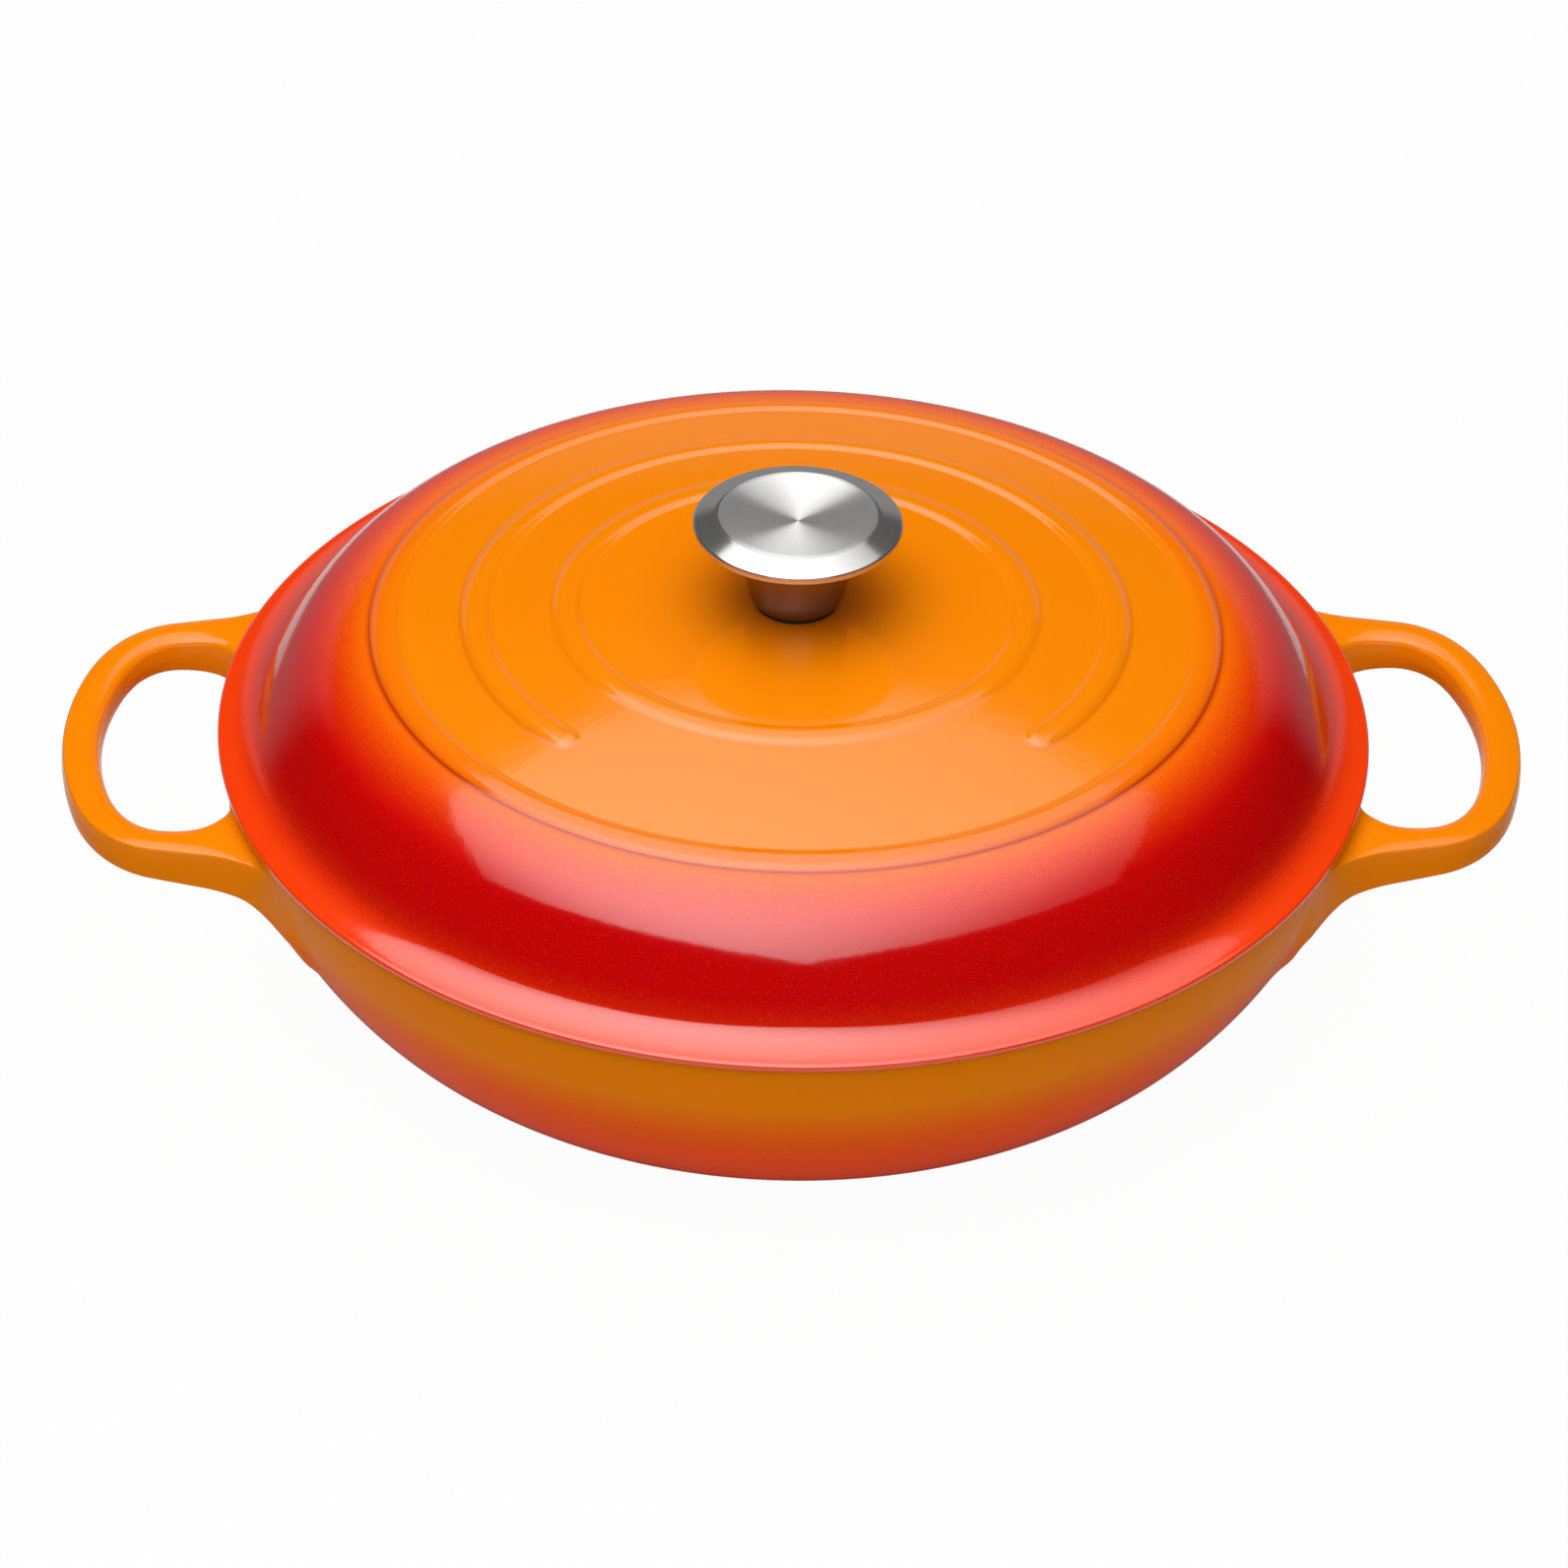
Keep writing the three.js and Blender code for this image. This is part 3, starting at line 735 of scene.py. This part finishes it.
def lidUnderside():
    # from the screw's hole out to the edge, with the locating ring
    foot, end = lidCorners()
    seat, rim, thick = lid["seat"], lid["radius"], lid["thickness"]
    lipIn, lipOut = lid["lip"]
    low, bevel = seat - lid["lipDepth"], lid["lipBevel"]
    last = lid["end"] - thick / 2
    under = [(lid["hole"] + 0.4, domeTop(lid["holeLevel"]) - thick)]
    under += [(r, domeTop(r) - thick) for r in np.arange(6, last, 4.0)]
    runs = [  # edges are rounded by tenths of a millimetre
        [(foot[0] - lid["hollow"][0], end[1] - lid["hollow"][1]), (foot[0] - thick, foot[1] - thick)],
        [(lipIn - 0.6, seat + 0.3)],
        [(lipIn, seat), (lipIn + 0.1, seat - 0.6)],
        [(lipIn + bevel - 0.2, low + 0.5)],
        [(lipIn + bevel, low), (lipIn + bevel + 0.6, low)],
        [(lipOut - bevel - 0.6, low)],
        [(lipOut - bevel, low), (lipOut - bevel + 0.2, low + 0.6)],
        [(lipOut - 0.1, seat - 0.4)],
        [(lipOut, seat), (lipOut + 0.5, seat)],
        [(rim - 0.8, seat)],
        [(rim, seat), (rim, seat + 0.5)],
    ]
    return under + trace((last, domeTop(last) - thick), runs, step=0.8).tolist()


def lidOutside():
    # edge, flange, fillet and shoulder, up to the dome
    foot, end = lidCorners()
    seat, rim = lid["seat"], lid["radius"]
    flangeEdge, flangeMiddle, fillet = (
        np.array(lid[key]) + (0, seat) for key in ("flangeEdge", "flangeMiddle", "fillet")
    )
    start, finish = lid["startAngle"], lid["endAngle"]
    climb = [
        foot + lid["startPull"] * np.array([-math.cos(start), math.sin(start)]),
        end + lid["endPull"] * np.array([math.cos(finish), -math.sin(finish)]),
        end,
    ]
    runs = [
        [(rim, seat + lid["edge"])],
        [(rim, flangeEdge[1]), flangeEdge],
        [flangeMiddle, fillet, foot],
        climb,
    ]
    return trace((rim, seat + 0.5), runs, step=0.7)[1:].tolist()


def lidDome():
    # inwards over the rings to the screw's hole
    flank = ringForm["flat"] + ringForm["flank"] / 2
    stops = [lid["end"]]
    while stops[-1] > 20:  # close steps on the rings' flanks, wider ones between
        near = min(abs(abs(stops[-1] - ringMiddle(ring)) - flank) for ring in rings)
        stops.append(stops[-1] - (0.3 if near < 1.6 else 0.8 if near < 3 else 1.6))
    hole, top = lid["hole"], domeTop(lid["holeLevel"])
    rim = [(hole + 0.3, top), (hole, top - 0.3), (hole, top - lid["thickness"] + 0.4)]
    return [(r, domeTop(r)) for r in stops[1:] + [16.0, 12.0, 8.0, 5.0]] + rim


def lidAngles():
    # steps of one degree, finer where the middle ring ends
    ends = np.arange(40, 50, 0.3)
    coarse = np.arange(-180, 180, 1.0)
    coarse = coarse[np.abs(np.abs(coarse) - 45) > 5]
    return np.radians(np.sort(np.concatenate([coarse, ends, -ends])) - 90)


def buildLid():
    mesh = spinMesh("lidShell", lidUnderside() + lidOutside() + lidDome(), lidAngles(), ringRise, closed=True)
    centres, normals = readRows(mesh.polygons, "center") / mm, readRows(mesh.polygons, "normal")
    radius, facing = np.hypot(centres[:, 0], centres[:, 1]), normals[:, 2]
    foot, _ = lidCorners()
    inside = (facing < -0.02) & (radius < lid["radius"] - 0.9)
    inside |= (radius < lid["lip"][0] + 1) & (facing < 0.2) & (centres[:, 2] < foot[1] - 1)
    paintFaces(mesh, lidEnamel, sandEnamel, inside)
    place = readRows(mesh.vertices, "co") / mm
    # the painted shade line at the rings' feet, kept to the dome
    line = footShade(np.hypot(place[:, 0], place[:, 1]), np.arctan2(place[:, 1], place[:, 0]))
    line *= place[:, 2] > lid["seat"] + lid["lineAbove"]
    mesh.attributes.new("footShade", "FLOAT", "POINT").data.foreach_set("value", line)
    print("lid:", len(mesh.polygons), "faces")
    return addPiece(mesh, "lid", "lid_enamel", "lid")


buildLid()


# Knob, its seal and its screw

def pick(values, *keys):
    return [values[key] for key in keys]


def addTurned(name, profile, finish, slot, node):
    mesh = spinMesh(name, profile, fineTurn, closed=True)
    mesh.materials.append(finish)
    return addPiece(mesh, "lid", slot, node)


cap = {
    "bottom": 127.95, "radius": 27.8, "edge": 130.65, "top": 133.05, "topRadius": 21, "dish": 2.1, "under": 26.2,
    "bevelPull": (25, 131.74), "rounding": 0.9,
}


def buildCap():
    bottom, radius, edge, top, topRadius = pick(cap, "bottom", "radius", "edge", "top", "topRadius")
    runs = [
        [(cap["under"], bottom)],
        [(radius, bottom + 0.4), (radius, edge - 0.6)],
        [(radius, edge - 0.35)],
        [(radius, edge), (radius - 0.35, edge + 0.2)],
        [cap["bevelPull"], (topRadius + cap["rounding"], top - 0.22)],
        [(topRadius, top + 0.02), (topRadius - cap["rounding"], top - 0.05)],
        [(topRadius / 2, top - cap["dish"]), (0, top - cap["dish"])],
    ]
    mesh = spinMesh("knobCap", trace((0, bottom), runs, step=0.5), fineTurn)
    centres = readRows(mesh.polygons, "center") / mm
    brushed = (np.hypot(centres[:, 0], centres[:, 1]) < topRadius) & (centres[:, 2] > edge)
    paintFaces(mesh, polishedSteel, brushedSteel, brushed)
    return addPiece(mesh, "lid", "brushed_steel", "knob_cap")


stem = {
    "bottom": 106.55, "top": 127.55, "bore": 9.5, "mouth": 13, "footFlat": 10.9, "footCurve": 11.6,
    "foot": (11.75, 107.2), "flare": (14.4, 112.5), "neck": (14.2, 125.8), "lipCurve": (14.3, 126.9), "lip": 14.95,
    "soft": 0.2,
}


def buildStem():
    bottom, top, bore, soft = pick(stem, "bottom", "top", "bore", "soft")
    runs = [
        [(stem["footFlat"], bottom)],
        [(stem["footCurve"], bottom), stem["foot"]],
        [stem["flare"], stem["neck"]],
        [stem["lipCurve"], (stem["lip"], top)],
        [(stem["mouth"], top)],
        [(bore, bottom + soft)],
    ]
    profile = trace((bore + soft, bottom), runs, step=0.3)
    return addTurned("knobStem", profile, shadedStemSteel, "stem_steel", "knob_stem")


gasket = {"radius": 11.2, "bore": 8.5, "bottom": 105.65, "top": 106.25, "soft": 0.2}


def buildGasket():
    radius, bore, bottom, top, soft = pick(gasket, "radius", "bore", "bottom", "top", "soft")
    middle = (bottom + top) / 2
    runs = [
        [(radius - soft, bottom)],
        [(radius, bottom), (radius, middle)],
        [(radius, top), (radius - soft, top)],
        [(bore + soft, top)],
        [(bore, top), (bore, middle)],
    ]
    profile = trace((bore + soft, bottom), runs, step=0.1)
    return addTurned("knobGasket", profile, shadeSeal, "dark_seal", "knob_gasket")


insert = {"radius": 6, "bore": 3.2, "bottom": 112.6, "top": 127.6, "roof": 125.6, "soft": 0.4}


def buildInsert():
    radius, bore, bottom, top, roof, soft = pick(insert, "radius", "bore", "bottom", "top", "roof", "soft")
    runs = [
        [(radius - soft, bottom)],
        [(radius, bottom), (radius, bottom + soft)],
        [(radius, top)],
        [(0, top)],
        [(0, roof)],
        [(bore, roof)],
        [(bore, bottom + soft)],
    ]
    profile = trace((bore + soft, bottom), runs)
    return addTurned("knobInsert", profile, screwSteel, "screw_steel", "knob_insert")


washer = {"radius": 8, "bore": 3.4, "bottom": 100.55, "top": 101.75, "soft": 0.3, "boreSoft": 0.2}


def buildWasher():
    radius, bore, bottom, top = pick(washer, "radius", "bore", "bottom", "top")
    soft, boreSoft = pick(washer, "soft", "boreSoft")
    runs = [
        [(radius - soft, bottom)],
        [(radius, bottom), (radius, bottom + soft)],
        [(radius, top)],
        [(bore, top)],
        [(bore, bottom + boreSoft)],
    ]
    profile = trace((bore + boreSoft, bottom), runs)
    return addTurned("screwWasher", profile, screwSteel, "screw_steel", "screw_washer")


screw = {
    "radius": 3, "tip": 117.25, "tipBevel": 0.6, "head": 5.6, "headFlat": 3.4, "headBottom": 97.05, "headSide": 98.95,
    "headTop": 100.25, "soft": 0.3, "slot": (16, 1.4, 2.4), "sharp": math.radians(40),
}


def buildScrew():
    radius, tip, bevel, soft = pick(screw, "radius", "tip", "tipBevel", "soft")
    head, flat, bottom, side, top = pick(screw, "head", "headFlat", "headBottom", "headSide", "headTop")
    runs = [
        [(flat, bottom)],
        [(head, bottom), (head, side)],
        [(head, top - soft)],
        [(head, top), (head - soft, top)],
        [(radius, top)],
        [(radius, tip - bevel)],
        [(radius - bevel, tip)],
        [(0, tip)],
    ]
    blank = spinMesh("blank", trace((0, bottom), runs, step=0.3), fineTurn)
    slot = bpy.data.meshes.new("slot")
    work = bmesh.new()
    bmesh.ops.create_cube(work, size=1, matrix=Matrix.Diagonal([size * mm for size in screw["slot"]] + [1]))
    work.to_mesh(slot)
    work.free()
    slot.transform(Matrix.Translation((0, 0, bottom * mm)))
    mesh = joined(blank, slot, "DIFFERENCE")
    mesh.name = "lidScrew"
    mesh.shade_smooth()
    mesh.set_sharp_from_angle(angle=screw["sharp"])
    mesh.materials.clear()
    mesh.materials.append(screwSteel)
    return addPiece(mesh, "lid", "screw_steel", "lid_screw")


for build in (buildCap, buildStem, buildGasket, buildInsert, buildWasher, buildScrew):
    build()
print("knob made")


# Floor, light and camera

floor = {"radius": 390, "drop": 0.4, "colour": (0.72, 0.72, 0.72, 1), "seen": 0.97, "mirrored": 0.02}


def buildFloor():
    # a pale disc that takes the pot's shadow and is close to white to the camera
    mesh = spinMesh("floor", [(0, -floor["drop"]), (floor["radius"], -floor["drop"])], fullTurn)
    if mesh.polygons[0].normal.z < 0:
        mesh.flip_normals()
    stage = bpy.data.objects.new("floor", mesh)
    scene.collection.objects.link(stage)
    material = bpy.data.materials.new("paleFloor")
    material.use_nodes = True
    tree = material.node_tree
    tree.nodes.clear()
    matt = addNode(tree, "ShaderNodeBsdfDiffuse", {"Color": floor["colour"]})
    glow = addNode(tree, "ShaderNodeEmission", {"Color": (1, 1, 1, 1), "Strength": 1.0})
    camera, mirrored = rayKinds(tree)
    seen = math2(tree, "MULTIPLY", camera, floor["seen"])
    share = math2(tree, "ADD", seen, math2(tree, "MULTIPLY", mirrored, floor["mirrored"]), clamp=True)
    both = addNode(tree, "ShaderNodeMixShader", {0: share, 1: matt.outputs[0], 2: glow.outputs[0]})
    out = addNode(tree, "ShaderNodeOutputMaterial")
    tree.links.new(both.outputs[0], out.inputs["Surface"])
    mesh.materials.append(material)


softbox = {  # hump and spread are across and deep, as seen from the lid, in halves of the height above it
    "place": (0.08, -0.56, 2.068), "side": 3.58, "tilt": -13.1, "turn": 45, "level": 3.6, "hump": (-0.45, -0.75),
    "spread": (1.05, 1.7), "least": 0.06, "seenFrom": 0.068,
}
backdrop = {"place": (0.1, 3, 0.5), "size": (9, 3.4), "level": 0.24, "top": (0.34, 0.5), "sides": (0.85, 1.4)}
fill = {"place": (0, -3, 0.75), "size": (4, 1.2), "level": 0.9}
studio = {"seen": 0.98, "always": 0.004, "mirrored": 0.004, "cardAim": (0, 0, 0.1)}


def addCard(name, card):
    # a dim white card that faces the pot
    data = bpy.data.lights.new(name, "AREA")
    data.shape = "RECTANGLE"
    data.size, data.size_y = card["size"]
    data.energy = math.pi * data.size * data.size_y * card["level"]
    lamp = bpy.data.objects.new(name, data)
    lamp.location = card["place"]
    lamp.rotation_euler = (Vector(studio["cardAim"]) - lamp.location).to_track_quat("-Z", "Y").to_euler()
    lamp.visible_camera = False
    scene.collection.objects.link(lamp)
    return data


def lampPlace(data):
    # where a ray meets the lamp, as a separated position
    data.use_nodes = True
    tree = data.node_tree
    place = addNode(tree, "ShaderNodeNewGeometry").outputs["Position"]
    return tree, addNode(tree, "ShaderNodeSeparateXYZ", {0: place})


def addSoftbox():
    # one square softbox overhead, turned by 45 degrees and brightest a little in front of its middle
    data = bpy.data.lights.new("softbox", "AREA")
    data.shape = "SQUARE"
    data.size = softbox["side"]
    data.energy = math.pi * softbox["side"] ** 2 * softbox["level"]
    tree, parts = lampPlace(data)
    depth = math2(tree, "MULTIPLY", math2(tree, "SUBTRACT", parts.outputs[2], softbox["seenFrom"]), 0.5)
    steps = []
    for i in (0, 1):
        away = math2(tree, "SUBTRACT", math2(tree, "DIVIDE", parts.outputs[i], depth), softbox["hump"][i])
        steps.append(math2(tree, "POWER", math2(tree, "DIVIDE", away, softbox["spread"][i]), 2.0))
    hump = math2(tree, "EXPONENT", math2(tree, "MULTIPLY", math2(tree, "ADD", *steps), -0.5))
    shine = math2(tree, "ADD", math2(tree, "MULTIPLY", hump, 1 - softbox["least"]), softbox["least"])
    tree.links.new(shine, tree.nodes["Emission"].inputs["Color"])
    lamp = bpy.data.objects.new("softbox", data)
    lamp.matrix_world = (
        Matrix.Translation(softbox["place"])
        @ Matrix.Rotation(math.radians(softbox["tilt"]), 4, "X")
        @ Matrix.Rotation(math.radians(softbox["turn"]), 4, "Z")
    )
    lamp.visible_camera = False
    scene.collection.objects.link(lamp)


def addBackdrop():
    # a wide card behind the pot that fades out at its top and its sides
    tree, parts = lampPlace(addCard("backdrop", backdrop))
    slope = math2(tree, "DIVIDE", parts.outputs[2], flatRadius(tree, parts))
    side = math2(tree, "ABSOLUTE", math2(tree, "DIVIDE", parts.outputs[0], parts.outputs[1]))
    fade = [spread(tree, value, *backdrop[key], "SMOOTHSTEP") for value, key in ((slope, "top"), (side, "sides"))]
    left = [math2(tree, "SUBTRACT", 1.0, value) for value in fade]
    tree.links.new(math2(tree, "MULTIPLY", *left), tree.nodes["Emission"].inputs["Color"])


def lightWorld():
    # white to the camera, all but dark to the pot
    world = bpy.data.worlds.new("studio")
    scene.world = world
    world.use_nodes = True
    tree = world.node_tree
    camera, mirrored = rayKinds(tree)
    seen = math2(tree, "ADD", math2(tree, "MULTIPLY", camera, studio["seen"]), studio["always"])
    shine = math2(tree, "ADD", seen, math2(tree, "MULTIPLY", mirrored, studio["mirrored"]))
    tree.links.new(shine, tree.nodes["Background"].inputs["Color"])


eye = {
    "distance": 1500, "elevation": 34.554, "turn": -2.4, "roll": 1.194, "aimRight": -0.0854, "aimUp": -0.69,
    "aimHeight": 68, "lens": 127.42, "sensor": 36,
}


def placeCamera():
    up = Vector((0, 0, 1))
    height = math.radians(eye["elevation"])
    spot = Vector((0, -math.cos(height), math.sin(height))) * eye["distance"]
    ahead = -spot.normalized()
    right = Vector((1, 0, 0))
    ahead += math.tan(math.radians(eye["aimRight"])) * right
    ahead += math.tan(math.radians(eye["aimUp"])) * right.cross(-spot.normalized())
    ahead.normalize()
    right = ahead.cross(up).normalized()
    above = right.cross(ahead)
    roll = math.radians(eye["roll"])
    axisX = math.cos(roll) * right + math.sin(roll) * above
    axisY = math.cos(roll) * above - math.sin(roll) * right
    turn = Matrix.Rotation(math.radians(eye["turn"]), 3, "Z")
    axes = Matrix((turn @ axisX, turn @ axisY, turn @ -ahead)).transposed()
    data = bpy.data.cameras.new("camera")
    data.sensor_width = eye["sensor"]
    data.lens = eye["lens"]
    camera = bpy.data.objects.new("camera", data)
    camera.matrix_world = Matrix.Translation((turn @ spot + eye["aimHeight"] * up) * mm) @ axes.to_4x4()
    scene.collection.objects.link(camera)
    scene.camera = camera


buildFloor()
addSoftbox()
addCard("fill", fill)
addBackdrop()
lightWorld()
placeCamera()
scene.view_settings.view_transform = "Standard"
print("stage set")
